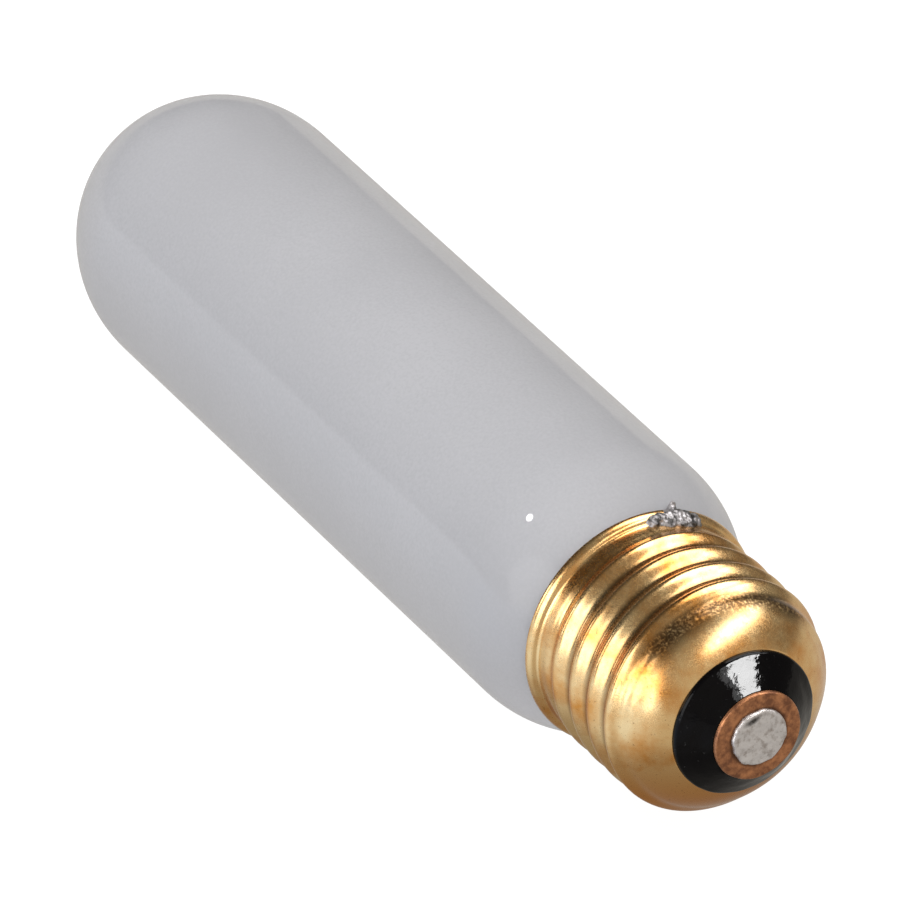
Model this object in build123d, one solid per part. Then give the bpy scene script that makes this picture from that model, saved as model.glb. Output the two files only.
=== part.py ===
from build123d import *

import math
import os

# A frosted tubular light bulb on a brass medium screw base, lying on its side. Sizes are in millimetres.
# The bulb's axis is X. The centre contact's face is at the origin and looks along +X, the glass runs
# towards -X, and +Z is up. A depth is a distance from the contact face along the axis, towards the crown.

# Blown glass bulb: a tube of ten eighths of an inch with a domed crown
GLASS_DIAMETER = 31.75
OVERALL_LENGTH = 133.0
CROWN_HEIGHT = 17.4
SHOULDER_RUN = 10.3
NECK_LENGTH = 9.8
NECK_FLARE_RADIUS = 4.0
SEAL_EDGE_RADIUS = 1.5
EXHAUST_TIP_DIAMETER = 5.2
EXHAUST_TIP_LENGTH = 5.0

# Brass screw shell, rolled from thin sheet: lip, rounded bottom, thread, plain band, collar and rim
SHELL_WALL = 0.3
THREAD_MAJOR = 26.3
THREAD_HEIGHT = 0.825
THREAD_PITCH = 3.629
THREAD_RUN_OUT = 2.4
THREAD_ONTO_BOTTOM = 2.7
CREST_AT_TOP_DEPTH = 13.6
SECTIONS_PER_TURN = 12
LIP_DIAMETER = 16.4
LIP_DEPTH = 3.85
STRAIGHT_DEPTH = 9.3
CORNER_RADIUS = 2.2
CORNER_TURN = 25.6
PLAIN_LENGTH = 1.0
COLLAR_LENGTH = 1.5
RIM_DEPTH = 25.1
RIM_PROUD = 0.4
RIM_BEAD_RADIUS = 0.9
RIM_EDGE = 0.25

# Room for the cement between the glass and the shell
NECK_GAP = 0.82
RIM_GAP = 0.7
CEMENT_RECESS = 0.5
CEMENT_LENGTH = 3.2

# Black glass insulator
INSULATOR_FLANGE_DIAMETER = 19.6
INSULATOR_BACK_DEPTH = 6.0
INSULATOR_FRONT_LAND = 0.1
INSULATOR_STEP = 0.45
INSULATOR_EDGE_RADIUS = 0.5

# Centre contact: copper eyelet closed by a solder button
EYELET_DIAMETER = 10.1
EYELET_FACE_DEPTH = 0.44
EYELET_THICKNESS = 0.5
EYELET_EDGE_RADIUS = 0.25
EYELET_BARREL_DIAMETER = 4.2
EYELET_BARREL_LENGTH = 3.2
EYELET_WALL = 0.35
TIP_SOLDER_DIAMETER = 6.4
TIP_SOLDER_EDGE_RADIUS = 0.3
TIP_SOLDER_PLUG_LENGTH = 2.2

# Lead wires from the glass seal
LEAD_DIAMETER = 0.4
LEAD_BEND_RADIUS = 0.8
LEAD_BITE = 1.2
CENTRE_LEAD_HEIGHT = 4.6
SIDE_LEAD_HEIGHT = 8.0
SIDE_LEAD_LOOP = 2.2
SIDE_LEAD_OVER_RIM = 0.32
SIDE_LEAD_END = 0.5
LEAD_CLEARANCE = 0.08

# Side solder: lumps run together on the rim, as (along the rim, forward of the rim's edge, radius)
SIDE_SOLDER_ANGLE = 17.0
SIDE_SOLDER_SINK = 1.0
SIDE_SOLDER_LUMPS = [
    (-2.9, 1.0, 1.0),
    (-1.9, 0.9, 1.15),
    (-1.2, 1.5, 0.9),
    (-0.8, 0.8, 1.25),
    (0.2, 1.6, 0.9),
    (0.3, 0.8, 1.3),
    (1.2, 0.8, 1.2),
    (1.3, 1.5, 0.9),
    (2.2, 0.9, 1.1),
]

# Worked-out sizes
GLASS_RADIUS = GLASS_DIAMETER / 2
THREAD_RADIUS = (THREAD_MAJOR - THREAD_HEIGHT) / 2
THREAD_BORE = THREAD_MAJOR / 2 - THREAD_HEIGHT - SHELL_WALL
NECK_RADIUS = THREAD_BORE - NECK_GAP
LIP_RADIUS = LIP_DIAMETER / 2
RIM_RADIUS = THREAD_MAJOR / 2 + RIM_PROUD
RIM_BORE = RIM_RADIUS - SHELL_WALL
COLLAR_DEPTH = RIM_DEPTH - COLLAR_LENGTH
THREAD_START_DEPTH = STRAIGHT_DEPTH - THREAD_ONTO_BOTTOM
THREAD_END_DEPTH = COLLAR_DEPTH - PLAIN_LENGTH
SEAL_DEPTH = RIM_DEPTH - NECK_LENGTH
EXHAUST_TIP_DEPTH = SEAL_DEPTH - EXHAUST_TIP_LENGTH
EYELET_BACK_DEPTH = EYELET_FACE_DEPTH + EYELET_THICKNESS

# The shell's bottom turns in by a tight corner, then by a wide arc that runs on from it to the lip
BOTTOM_RUN = STRAIGHT_DEPTH - LIP_DEPTH - CORNER_RADIUS * math.sin(math.radians(CORNER_TURN))
BOTTOM_DROP = THREAD_RADIUS - LIP_RADIUS - CORNER_RADIUS * (1 - math.cos(math.radians(CORNER_TURN)))
BOTTOM_TURN = 2 * (math.degrees(math.atan2(BOTTOM_DROP, BOTTOM_RUN)) - CORNER_TURN)
BOTTOM_RADIUS = math.hypot(BOTTOM_RUN, BOTTOM_DROP) / (2 * math.sin(math.radians(BOTTOM_TURN / 2)))
CORNER_CENTRE = (STRAIGHT_DEPTH, THREAD_RADIUS - CORNER_RADIUS)
BOTTOM_CENTRE = (
    STRAIGHT_DEPTH + (BOTTOM_RADIUS - CORNER_RADIUS) * math.sin(math.radians(CORNER_TURN)),
    THREAD_RADIUS - CORNER_RADIUS - (BOTTOM_RADIUS - CORNER_RADIUS) * math.cos(math.radians(CORNER_TURN)),
)

# The collar flares from the thread's mean radius to the rim by two tangent arcs
COLLAR_RUN = COLLAR_LENGTH - RIM_EDGE
COLLAR_RISE = RIM_RADIUS - THREAD_RADIUS
COLLAR_TURN = math.degrees(2 * math.atan(COLLAR_RISE / COLLAR_RUN))
COLLAR_FLARE_RADIUS = (COLLAR_RUN**2 + COLLAR_RISE**2) / (2 * COLLAR_RISE) - RIM_BEAD_RADIUS

# The glass shoulder is an arc that clears the rim by its gap, then turns into the neck
SHOULDER_DEPTH = RIM_DEPTH + SHOULDER_RUN
SHOULDER_DROP = GLASS_RADIUS - (RIM_BORE - RIM_GAP)
SHOULDER_RADIUS = (SHOULDER_RUN**2 + SHOULDER_DROP**2) / (2 * SHOULDER_DROP)
SHOULDER_TURN = math.degrees(
    math.acos(1 - (GLASS_RADIUS - NECK_RADIUS) / (NECK_FLARE_RADIUS + SHOULDER_RADIUS))
)
NECK_END_DEPTH = SHOULDER_DEPTH - (NECK_FLARE_RADIUS + SHOULDER_RADIUS) * math.sin(
    math.radians(SHOULDER_TURN)
)

TOWARDS_CONTACT = (1, 0)
TOWARDS_CROWN = (-1, 0)
OUTWARDS = (0, 1)
SAME_POINT = 1e-6

# A cubic curve with handles this share of its radii follows a quarter of an ellipse
QUARTER_HANDLE = 4 / 3 * (math.sqrt(2) - 1)


def at(depth, radius):
    """The point of a half section at a depth along the axis and a radius from it."""
    return Vector(-depth, radius)


def turned(edges):
    """Closes a half section to the axis and turns it into a solid."""
    start = edges[0] @ 0
    end = edges[-1] @ 1
    corners = [end, Vector(end.X, 0), Vector(start.X, 0), start]
    closing = [Line(a, b) for a, b in zip(corners, corners[1:]) if (b - a).length > SAME_POINT]
    return revolve(Plane.XZ * make_face(Curve() + edges + closing), Axis.X)


def rod(radius, front_depth, back_depth):
    """A plain round bar on the axis between two depths."""
    return turned([Line(at(front_depth, radius), at(back_depth, radius))])


def flare(start, turn, hollow_radius, round_radius):
    """Two tangent arcs that widen a half section towards the crown and end parallel to the axis."""
    hollow = JernArc(start, TOWARDS_CROWN, hollow_radius, -turn)
    rounded = JernArc(hollow @ 1, hollow % 1, round_radius, turn)
    return [hollow, rounded]


def wire(points):
    """A round wire along straight runs with rounded bends, in the plane of the axis and +Z."""
    path = FilletPolyline(*points, radius=LEAD_BEND_RADIUS)
    section = Plane(path @ 0, z_dir=path % 0) * Circle(LEAD_DIAMETER / 2)
    return sweep(section, path=path)


def in_plane(depth, height):
    """A point of a wire's route, at a depth along the axis and a height above it."""
    return Vector(-depth, 0, height)


def around(solid, angle):
    """Turns a piece about the axis, from the top towards +Y."""
    return Rot(X=-angle) * solid


def make_glass_envelope():
    """The sealed bulb as one solid: exhaust tip, seal, neck, shoulder, straight tube and domed crown."""
    tip = JernArc(at(EXHAUST_TIP_DEPTH, 0), OUTWARDS, EXHAUST_TIP_DIAMETER / 2, 90)
    seal = Polyline(
        tip @ 1,
        at(SEAL_DEPTH, EXHAUST_TIP_DIAMETER / 2),
        at(SEAL_DEPTH, NECK_RADIUS - SEAL_EDGE_RADIUS),
    )
    seal_edge = JernArc(seal @ 1, OUTWARDS, SEAL_EDGE_RADIUS, 90)
    neck = Line(seal_edge @ 1, at(NECK_END_DEPTH, NECK_RADIUS))
    shoulder = flare(neck @ 1, SHOULDER_TURN, NECK_FLARE_RADIUS, SHOULDER_RADIUS)
    crown_depth = OVERALL_LENGTH - CROWN_HEIGHT
    tube = Line(shoulder[-1] @ 1, at(crown_depth, GLASS_RADIUS))
    crown = Bezier(
        tube @ 1,
        at(crown_depth + QUARTER_HANDLE * CROWN_HEIGHT, GLASS_RADIUS),
        at(OVERALL_LENGTH, QUARTER_HANDLE * GLASS_RADIUS),
        at(OVERALL_LENGTH, 0),
    )
    return turned([tip, seal, seal_edge, neck, *shoulder, tube, crown])


def bottom_form(inset):
    """The shell's rounded bottom, up to the thread, as a filled form inset from the skin."""
    corner = JernArc(
        at(STRAIGHT_DEPTH, THREAD_RADIUS - inset), TOWARDS_CONTACT, CORNER_RADIUS - inset, -CORNER_TURN
    )
    dish = JernArc(corner @ 1, corner % 1, BOTTOM_RADIUS - inset, -BOTTOM_TURN)
    return turned([corner, dish]) & rod(THREAD_MAJOR, 0, THREAD_START_DEPTH)


def collar_form(inset):
    """The shell's plain band, flared collar and rim, as a filled form inset from the skin."""
    band = Line(at(THREAD_END_DEPTH, THREAD_RADIUS - inset), at(COLLAR_DEPTH, THREAD_RADIUS - inset))
    skirt = flare(
        band @ 1,
        COLLAR_TURN,
        COLLAR_FLARE_RADIUS + inset,
        RIM_BEAD_RADIUS - inset,
    )
    edge = Line(skirt[-1] @ 1, at(RIM_DEPTH, RIM_RADIUS - inset))
    return turned([band, *skirt, edge])


def on_arc(depth, centre, radius):
    """How far an arc stands from the axis at a depth."""
    return centre[1] + math.sqrt(radius**2 - (depth - centre[0]) ** 2)


def skin_radius(depth, inset):
    """The shell's mean radius at a depth of the thread: on its bottom, corner or straight, less an inset."""
    corner_start = STRAIGHT_DEPTH - (CORNER_RADIUS - inset) * math.sin(math.radians(CORNER_TURN))
    if depth < corner_start:
        return on_arc(depth, BOTTOM_CENTRE, BOTTOM_RADIUS - inset)
    if depth < STRAIGHT_DEPTH:
        return on_arc(depth, CORNER_CENTRE, CORNER_RADIUS - inset)
    return THREAD_RADIUS - inset


def thread_offset(depth):
    """How far the thread's section stands off the axis: the full offset, faded out at both ends."""
    reach = min(depth - THREAD_START_DEPTH, THREAD_END_DEPTH - depth) / THREAD_RUN_OUT
    return THREAD_HEIGHT / 2 * (1 - math.cos(math.pi * min(reach, 1))) / 2


def thread_form(inset):
    """The round thread as a filled form. Every slice across a single round thread is a circle that stands
    off the axis by half the thread's height and goes once around it in each pitch."""
    length = THREAD_END_DEPTH - THREAD_START_DEPTH
    steps = round(length / THREAD_PITCH * SECTIONS_PER_TURN)
    slices = []
    for i in range(steps + 1):
        depth = THREAD_START_DEPTH + length * i / steps
        turn = 2 * math.pi * (depth - CREST_AT_TOP_DEPTH) / THREAD_PITCH
        offset = thread_offset(depth)
        centre = (-depth, offset * math.sin(turn), offset * math.cos(turn))
        slices.append(Plane(centre, x_dir=(0, 0, 1), z_dir=(-1, 0, 0)) * Circle(skin_radius(depth, inset)))
    return loft(slices)


def shell_form(inset):
    """The whole screw shell as a filled form, inset from the outer skin."""
    return bottom_form(inset) + thread_form(inset) + collar_form(inset)


def make_screw_shell(outer_form, inner_form):
    """The rolled brass sheet: its outer form less its inner form, open at the lip and the rim."""
    lip_hole = rod(LIP_RADIUS, 0, STRAIGHT_DEPTH)
    return outer_form - inner_form - lip_hole


def make_base_insulator(shell_inner_form):
    """Black glass cast into the shell's bottom, with a cone that carries the eyelet."""
    cone = FilletPolyline(
        at(EYELET_BACK_DEPTH, EYELET_DIAMETER / 2 + INSULATOR_FRONT_LAND),
        at(LIP_DEPTH - INSULATOR_STEP, LIP_RADIUS),
        at(LIP_DEPTH + 2 * SHELL_WALL, LIP_RADIUS),
        radius=INSULATOR_EDGE_RADIUS,
    )
    flange = shell_inner_form & rod(INSULATOR_FLANGE_DIAMETER / 2, 0, INSULATOR_BACK_DEPTH)
    hole = rod(EYELET_BARREL_DIAMETER / 2, 0, INSULATOR_BACK_DEPTH)
    return turned([cone]) + flange - hole


def make_contact_eyelet():
    """Copper eyelet: a flat head with a rounded edge and a barrel down into the insulator."""
    head_radius = EYELET_DIAMETER / 2
    barrel_radius = EYELET_BARREL_DIAMETER / 2
    face = Line(at(EYELET_FACE_DEPTH, 0), at(EYELET_FACE_DEPTH, head_radius - EYELET_EDGE_RADIUS))
    edge = JernArc(face @ 1, OUTWARDS, EYELET_EDGE_RADIUS, 90)
    barrel_end = EYELET_BACK_DEPTH + EYELET_BARREL_LENGTH
    side = Polyline(
        edge @ 1,
        at(EYELET_BACK_DEPTH, head_radius),
        at(EYELET_BACK_DEPTH, barrel_radius),
        at(barrel_end, barrel_radius),
    )
    return turned([face, edge, side]) - rod(barrel_radius - EYELET_WALL, 0, barrel_end)


def make_tip_solder(centre_lead):
    """Solder button on the eyelet's head, with the plug that holds the centre lead in the barrel."""
    button_radius = TIP_SOLDER_DIAMETER / 2
    plug_radius = EYELET_BARREL_DIAMETER / 2 - EYELET_WALL
    face = Line(at(0, 0), at(0, button_radius - TIP_SOLDER_EDGE_RADIUS))
    edge = JernArc(face @ 1, OUTWARDS, TIP_SOLDER_EDGE_RADIUS, 90)
    side = Polyline(
        edge @ 1,
        at(EYELET_FACE_DEPTH, button_radius),
        at(EYELET_FACE_DEPTH, plug_radius),
        at(EYELET_FACE_DEPTH + TIP_SOLDER_PLUG_LENGTH, plug_radius),
    )
    return turned([face, edge, side]) - centre_lead


def make_centre_lead():
    """Wire from the glass seal, past the exhaust tip and down the eyelet into its solder."""
    bend_depth = (EXHAUST_TIP_DEPTH + 3 * INSULATOR_BACK_DEPTH) / 4
    end_depth = EYELET_FACE_DEPTH + TIP_SOLDER_PLUG_LENGTH - LEAD_BITE
    return wire(
        [
            in_plane(SEAL_DEPTH, -CENTRE_LEAD_HEIGHT),
            in_plane(EXHAUST_TIP_DEPTH, -CENTRE_LEAD_HEIGHT),
            in_plane(bend_depth, 0),
            in_plane(end_depth, 0),
        ]
    )


def make_side_lead():
    """Wire from the glass seal, back up between the neck and the shell and out over the rim."""
    loop_depth = SEAL_DEPTH - SIDE_LEAD_LOOP
    gap_height = (NECK_RADIUS + THREAD_BORE) / 2
    over_depth = RIM_DEPTH + SIDE_LEAD_OVER_RIM
    rim_height = RIM_BORE - LEAD_DIAMETER / 2 - LEAD_CLEARANCE
    lead = wire(
        [
            in_plane(SEAL_DEPTH, SIDE_LEAD_HEIGHT),
            in_plane(loop_depth, SIDE_LEAD_HEIGHT),
            in_plane(loop_depth, gap_height),
            in_plane(THREAD_END_DEPTH, gap_height),
            in_plane(over_depth, rim_height),
            in_plane(over_depth, RIM_RADIUS + SIDE_LEAD_END),
        ]
    )
    return around(lead, SIDE_SOLDER_ANGLE)


def make_basing_cement(shell_inner_form, glass, side_lead):
    """Ring of cement that fills the shell around the glass neck, up to just inside the rim."""
    back_depth = RIM_DEPTH - CEMENT_RECESS
    filling = shell_inner_form & rod(RIM_RADIUS, back_depth - CEMENT_LENGTH, back_depth)
    return filling - glass - side_lead


def make_side_solder(shell_outer_form, glass, side_lead):
    """Lumps of solder run together over the rim, around the end of the side lead."""
    lumps = Part()
    for along, forward, radius in SIDE_SOLDER_LUMPS:
        lump = Pos(-(RIM_DEPTH - forward), 0, RIM_RADIUS - SIDE_SOLDER_SINK) * Sphere(radius)
        lumps += around(lump, math.degrees(along / RIM_RADIUS))
    return around(lumps, SIDE_SOLDER_ANGLE) - shell_outer_form - glass - side_lead


def main():
    shell_outer_form = shell_form(0)
    shell_inner_form = shell_form(SHELL_WALL)
    glass = make_glass_envelope()
    centre_lead = make_centre_lead()
    side_lead = make_side_lead()
    pieces = {
        "glass_envelope": glass,
        "screw_shell": make_screw_shell(shell_outer_form, shell_inner_form),
        "base_insulator": make_base_insulator(shell_inner_form),
        "contact_eyelet": make_contact_eyelet(),
        "tip_solder": make_tip_solder(centre_lead),
        "side_solder": make_side_solder(shell_outer_form, glass, side_lead),
        "basing_cement": make_basing_cement(shell_inner_form, glass, side_lead),
        "centre_lead": centre_lead,
        "side_lead": side_lead,
    }
    os.makedirs("parts", exist_ok=True)
    for name, piece in pieces.items():
        export_step(piece, f"parts/{name}.step")


main()
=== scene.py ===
import math

import bmesh
import bpy
from bpy.props import FloatProperty, FloatVectorProperty, PointerProperty
from mathutils import Matrix, Vector, noise


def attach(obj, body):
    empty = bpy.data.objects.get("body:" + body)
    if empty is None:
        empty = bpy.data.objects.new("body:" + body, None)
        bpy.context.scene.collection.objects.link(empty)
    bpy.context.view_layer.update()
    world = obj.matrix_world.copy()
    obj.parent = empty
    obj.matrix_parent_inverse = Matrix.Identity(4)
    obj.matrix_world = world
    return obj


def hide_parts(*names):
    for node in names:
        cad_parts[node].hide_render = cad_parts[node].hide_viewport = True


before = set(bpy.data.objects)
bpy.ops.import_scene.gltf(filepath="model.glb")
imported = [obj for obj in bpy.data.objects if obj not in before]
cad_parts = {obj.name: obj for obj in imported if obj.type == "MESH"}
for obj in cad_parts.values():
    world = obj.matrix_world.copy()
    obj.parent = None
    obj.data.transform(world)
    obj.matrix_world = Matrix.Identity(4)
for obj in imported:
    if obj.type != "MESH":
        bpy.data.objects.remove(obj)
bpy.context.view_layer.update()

bl_info = {
    "name": "Frosted tubular light bulb",
    "version": (1, 0, 0),
    "blender": (4, 5, 0),
    "location": "View3D > Sidebar > Light bulb",
    "description": "Models a frosted tubular light bulb on a brass screw base, on a pale floor",
    "category": "Add Mesh",
}

# The bulb's axis is X. The contact face is at the origin and looks along +X, and the glass runs
# towards -X. A depth is a distance from the contact face towards the crown of the glass. Everything
# is in metres.
MM = 0.001
AXIS = Vector((1.0, 0.0, 0.0))
ACROSS = Vector((0.0, 1.0, 0.0))
# Vertices closer than this are one
MERGE = 0.0005 * MM
QUARTER = math.radians(90)
FULL_TURN = math.radians(360)


def linear(hex_colour):
    """Turns an sRGB hex colour into linear red, green and blue."""
    parts = [int(hex_colour[i : i + 2], 16) / 255 for i in (1, 3, 5)]
    return tuple(c / 12.92 if c <= 0.04045 else ((c + 0.055) / 1.055) ** 2.4 for c in parts)


def size(name, description, millimetres):
    """A length that a user may change."""
    return FloatProperty(
        name=name,
        description=description,
        default=millimetres * MM,
        min=0.0,
        unit="LENGTH",
        precision=5,
    )


def turn(name, description, degrees):
    """An angle that a user may change."""
    return FloatProperty(
        name=name, description=description, default=math.radians(degrees), subtype="ANGLE"
    )


def tint(name, description, hex_colour):
    """A colour that a user may change."""
    return FloatVectorProperty(
        name=name,
        description=description,
        default=linear(hex_colour),
        size=3,
        min=0.0,
        max=1.0,
        subtype="COLOR",
    )


class BulbGlassSettings(bpy.types.PropertyGroup):
    """Sizes and colours of the blown glass."""

    tube_diameter: size("Tube diameter", "Outside diameter of the straight glass tube", 31.75)
    overall_length: size("Overall length", "From the contact face to the top of the crown", 133.0)
    crown_height: size("Crown height", "How far the crown rises beyond the straight tube", 17.4)
    shoulder_run: size("Shoulder run", "Length of the shoulder behind the shell's rim", 10.3)
    neck_length: size("Neck length", "Length of the neck inside the shell", 9.8)
    neck_flare: size("Neck flare radius", "Radius of the turn from the neck into the shoulder", 4.0)
    neck_gap: size("Neck gap", "Room between the neck and the thread's bore", 0.82)
    rim_gap: size("Rim gap", "Room between the glass and the shell's rim", 0.7)
    seal_edge: size("Seal edge radius", "Rounding of the sealed end of the neck", 1.5)
    exhaust_diameter: size("Exhaust tip diameter", "Diameter of the exhaust tip in the base", 5.2)
    exhaust_length: size("Exhaust tip length", "Length of the exhaust tip in the base", 5.0)
    milk: tint("Frosted white", "Colour of the frosted glass", "#AEAEB2")
    shade: tint("Frosted grey", "Colour of the glass where the frosting is thinner", "#A7A7AB")


class BulbShellSettings(bpy.types.PropertyGroup):
    """Sizes and colours of the rolled brass shell."""

    wall: size("Sheet thickness", "Thickness of the rolled brass sheet", 0.3)
    thread_major: size("Thread diameter", "Diameter over the thread's crests", 26.3)
    thread_height: size("Thread height", "Height of the crests above the grooves", 0.825)
    thread_pitch: size("Thread pitch", "Distance from one crest to the next", 3.629)
    thread_run_out: size("Thread run-out", "Length over which the thread fades at each end", 2.4)
    thread_onto_bottom: size("Thread onto bottom", "Run of the thread onto the rounded bottom", 2.7)
    crest_at_top: size("Crest at top", "Depth of one crest on the top side", 13.6)
    lip_diameter: size("Lip diameter", "Diameter of the turned-in lip", 16.4)
    lip_depth: size("Lip depth", "Depth of the lip behind the contact face", 3.85)
    straight_depth: size("Straight depth", "Depth at which the straight begins", 9.3)
    corner_radius: size("Corner radius", "Radius of the corner below the thread", 2.2)
    corner_turn: turn("Corner turn", "Angle through which the corner turns in", 25.6)
    plain_length: size("Plain length", "Length of the plain band behind the thread", 1.0)
    collar_length: size("Collar length", "Length of the flared collar", 1.5)
    rim_depth: size("Rim depth", "Depth of the rim behind the contact face", 25.1)
    rim_proud: size("Rim proud", "How far the rim stands out beyond the crests", 0.4)
    rim_bead: size("Rim bead radius", "Radius of the turn into the rim", 0.9)
    rim_edge: size("Rim edge", "Straight length at the rim", 0.25)
    edge_break: size("Edge break", "Rounding of the sheet's cut edges", 0.07)
    bright: tint("Bright brass", "Colour of the clean brass", "#E1BE88")
    # The deep colour also serves as painted shade low on the rounded bottom, besides random
    # darkened patches.
    deep: tint("Deep brass", "Colour of the brass where it has darkened", "#C68030")
    tarnish: tint("Tarnish", "Colour of the tarnish in the grooves and specks", "#54300E")


class BulbContactSettings(bpy.types.PropertyGroup):
    """Sizes and colours of the insulator, the eyelet and the solder."""

    flange_diameter: size("Flange diameter", "Diameter of the insulator inside the shell", 19.6)
    insulator_back: size("Insulator back", "Depth of the insulator's back", 6.0)
    insulator_land: size("Insulator land", "Ring of insulator around the eyelet's head", 0.1)
    insulator_step: size("Insulator step", "How far the insulator stands out of the lip", 0.45)
    insulator_edge: size("Insulator edge radius", "Rounding of the insulator's outer edge", 0.5)
    insulator_ripple: size("Insulator ripple", "Unevenness of the cast surface", 0.05)
    eyelet_diameter: size("Eyelet diameter", "Diameter of the eyelet's head", 10.1)
    eyelet_face: size("Eyelet face depth", "Depth of the eyelet's face", 0.44)
    eyelet_thickness: size("Eyelet thickness", "Thickness of the eyelet's head", 0.5)
    eyelet_edge: size("Eyelet edge radius", "Rounding of the eyelet's head", 0.25)
    barrel_diameter: size("Barrel diameter", "Diameter of the eyelet's barrel", 4.2)
    barrel_length: size("Barrel length", "Length of the eyelet's barrel", 3.2)
    barrel_wall: size("Barrel wall", "Wall of the eyelet's barrel", 0.35)
    solder_diameter: size("Solder diameter", "Diameter of the solder button", 6.4)
    solder_edge: size("Solder edge radius", "Rounding of the solder button", 0.3)
    solder_ripple: size("Solder ripple", "Unevenness of the solder", 0.07)
    plug_length: size("Plug length", "Length of the solder in the barrel", 2.2)
    lump_angle: turn("Side solder angle", "Place around the rim, from the top", 17.0)
    lump_ripple: size("Side solder ripple", "Unevenness of the side solder", 0.11)
    black: tint("Black glass", "Colour of the insulator", "#060506")
    dust: tint("Dust", "Colour of the dust in the insulator's pits", "#343334")
    copper: tint("Copper", "Colour of the eyelet", "#B67C54")
    oxide: tint("Copper oxide", "Colour of the eyelet where it has darkened", "#784E36")
    solder: tint("Solder", "Colour of the solder", "#C8C4C3")
    dross: tint("Dross", "Colour of the dark patches in the solder", "#7A6C62")
    lump_pale: tint("Side solder", "Colour of the side solder", "#A4A0A1")
    lump_dark: tint("Side solder pits", "Colour of the pits in the side solder", "#3A3837")
    cement: tint("Cement", "Colour of the basing cement", "#B09C7C")
    wire: tint("Lead wire", "Colour of the lead wires", "#B08A6C")


class BulbStageSettings(bpy.types.PropertyGroup):
    """The floor and the camera."""

    floor: tint("Floor", "Colour of the floor", "#6C6C6E")
    azimuth: turn("Camera azimuth", "Direction of the camera around the bulb", 60.902)
    elevation: turn("Camera elevation", "Height of the camera above the floor, as an angle", 31.004)
    distance: size("Camera distance", "From the camera to the point that it looks at", 1381.99)


class BulbSettings(bpy.types.PropertyGroup):
    """Everything that a user may change."""

    glass: PointerProperty(type=BulbGlassSettings)
    shell: PointerProperty(type=BulbShellSettings)
    contact: PointerProperty(type=BulbContactSettings)
    stage: PointerProperty(type=BulbStageSettings)


def settings():
    """The scene's settings for the bulb."""
    return bpy.context.scene.light_bulb


class Profile:
    """A half section in the X-Z plane, drawn as one chain of edges."""

    def __init__(self, bm, depth, radius):
        self.bm = bm
        self.tip = bm.verts.new((-depth, 0.0, radius))
        self.first = self.tip

    def line(self, depth, radius, steps=1):
        """Carries the chain straight on to a point, in equal steps."""
        step = (Vector((-depth, 0.0, radius)) - self.tip.co) / steps
        for _ in range(steps):
            made = bmesh.ops.extrude_vert_indiv(self.bm, verts=[self.tip])
            bmesh.ops.translate(self.bm, verts=made["verts"], vec=step)
            self.tip = made["verts"][0]

    def arc(self, depth, radius, angle, steps):
        """Carries the chain around a centre, and returns the new vertices."""
        before = set(self.bm.verts)
        middle = (-depth, 0.0, radius)
        made = bmesh.ops.spin(
            self.bm, geom=[self.tip], cent=middle, axis=ACROSS, angle=angle, steps=steps
        )
        self.tip = next(g for g in made["geom_last"] if isinstance(g, bmesh.types.BMVert))
        return [v for v in self.bm.verts if v not in before]

    def close(self):
        """Joins the end of the chain to its start."""
        self.bm.edges.new((self.tip, self.first))

    def turned(self, steps):
        """Spins the chain about the bulb's axis."""
        bmesh.ops.spin(
            self.bm,
            geom=self.bm.verts[:] + self.bm.edges[:],
            cent=(0, 0, 0),
            axis=AXIS,
            angle=FULL_TURN,
            steps=steps,
            use_merge=True,
        )
        bmesh.ops.remove_doubles(self.bm, verts=self.bm.verts, dist=MERGE)
        bmesh.ops.recalc_face_normals(self.bm, faces=self.bm.faces)


def roughen(bm, verts, depth, grain, seed=0.0):
    """Moves vertices along their normals by a fixed noise of a given grain."""
    bm.normal_update()
    shift = Vector((seed, 0.0, 0.0))
    moves = [v.normal * noise.noise(v.co / grain + shift) * depth for v in verts]
    for vert, move in zip(verts, moves):
        vert.co += move


def finished(bm, name, material, node_name, sharp_degrees=38):
    """Turns a bmesh into a piece of the bulb that stands for a node of the frame."""
    mesh = bpy.data.meshes.new(name)
    bm.to_mesh(mesh)
    bm.free()
    mesh.shade_smooth()
    mesh.set_sharp_from_angle(angle=math.radians(sharp_degrees))
    mesh.materials.append(material)
    piece = bpy.data.objects.new(name, mesh)
    bpy.context.scene.collection.objects.link(piece)
    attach(piece, "root")
    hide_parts(node_name)


def node(tree, kind, sockets=None, **options):
    """Adds a node, sets its options, and fills its sockets with values or with links.
    A link comes from an output, or from a node, which means its first output in use."""
    made = tree.nodes.new("ShaderNode" + kind)
    for option, value in options.items():
        setattr(made, option, value)
    for socket, value in (sockets or {}).items():
        if isinstance(value, bpy.types.Node):
            value = next(output for output in value.outputs if output.enabled)
        if isinstance(value, bpy.types.NodeSocket):
            tree.links.new(value, made.inputs[socket])
        else:
            made.inputs[socket].default_value = value
    return made


# Sockets by number: the value and the ranges of a Map Range node, and a colour mix's inputs
VALUE, LOW, HIGH, TO_LOW, TO_HIGH = range(5)
FACTOR, FIRST, SECOND = 0, 6, 7


def rgba(colour, share=1.0):
    """A colour, or a darker share of it, with full alpha, for a socket."""
    return (*(part * share for part in colour), 1.0)


def per_mm(millimetres):
    """A pattern's scale from the size of its grain."""
    return 1.0 / (millimetres * MM)


def new_material(name):
    """A material with an empty node tree, and its surface's own coordinates."""
    material = bpy.data.materials.new(name)
    material.use_nodes = True
    tree = material.node_tree
    tree.nodes.clear()
    place = node(tree, "TexCoord").outputs["Object"]
    return material, tree, place


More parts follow.
